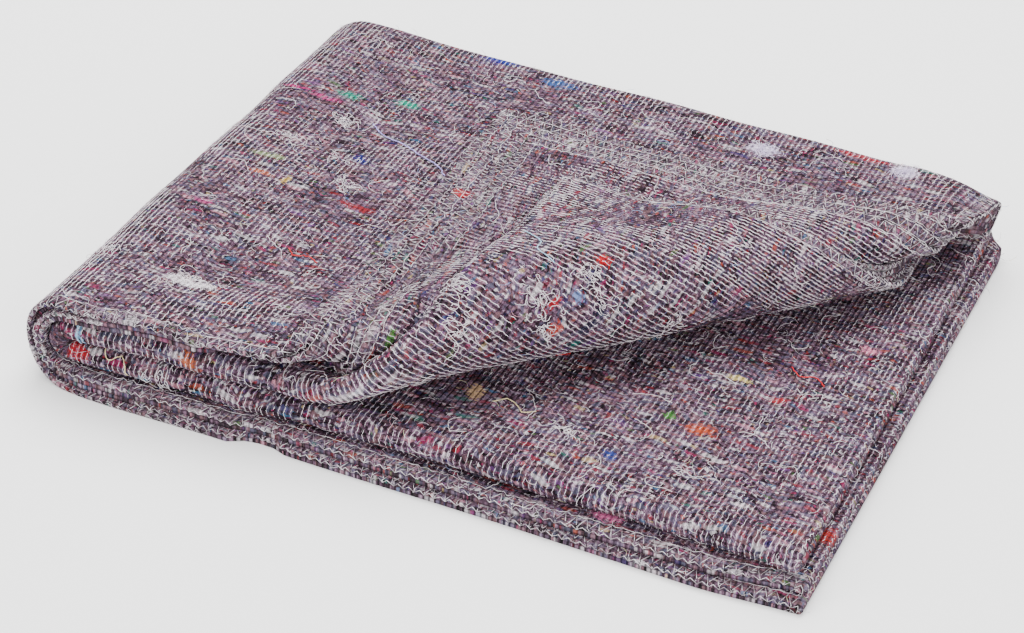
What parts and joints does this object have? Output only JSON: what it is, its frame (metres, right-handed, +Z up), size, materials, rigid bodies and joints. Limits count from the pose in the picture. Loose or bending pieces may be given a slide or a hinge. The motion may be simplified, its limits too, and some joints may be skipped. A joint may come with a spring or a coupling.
{
  "type": "moving blanket",
  "caption": "Stitch-bonded felt moving blanket with overlocked edges, folded into a flat bundle, one corner of the upper half turned back.",
  "frame": {"origin": "middle of the folded bundle's footprint, on the surface it lies on", "axes": "+X to the bundle's closed right side, across the stitch rows; +Y to its closed back; +Z up"},
  "size_m": [0.4914, 0.3976, 0.095],
  "materials": {
    "blanket": "fibrous felt, stitched in rows"
  },
  "bodies": {
    "root": {"blanket": "blanket"}
  },
  "joints": []
}
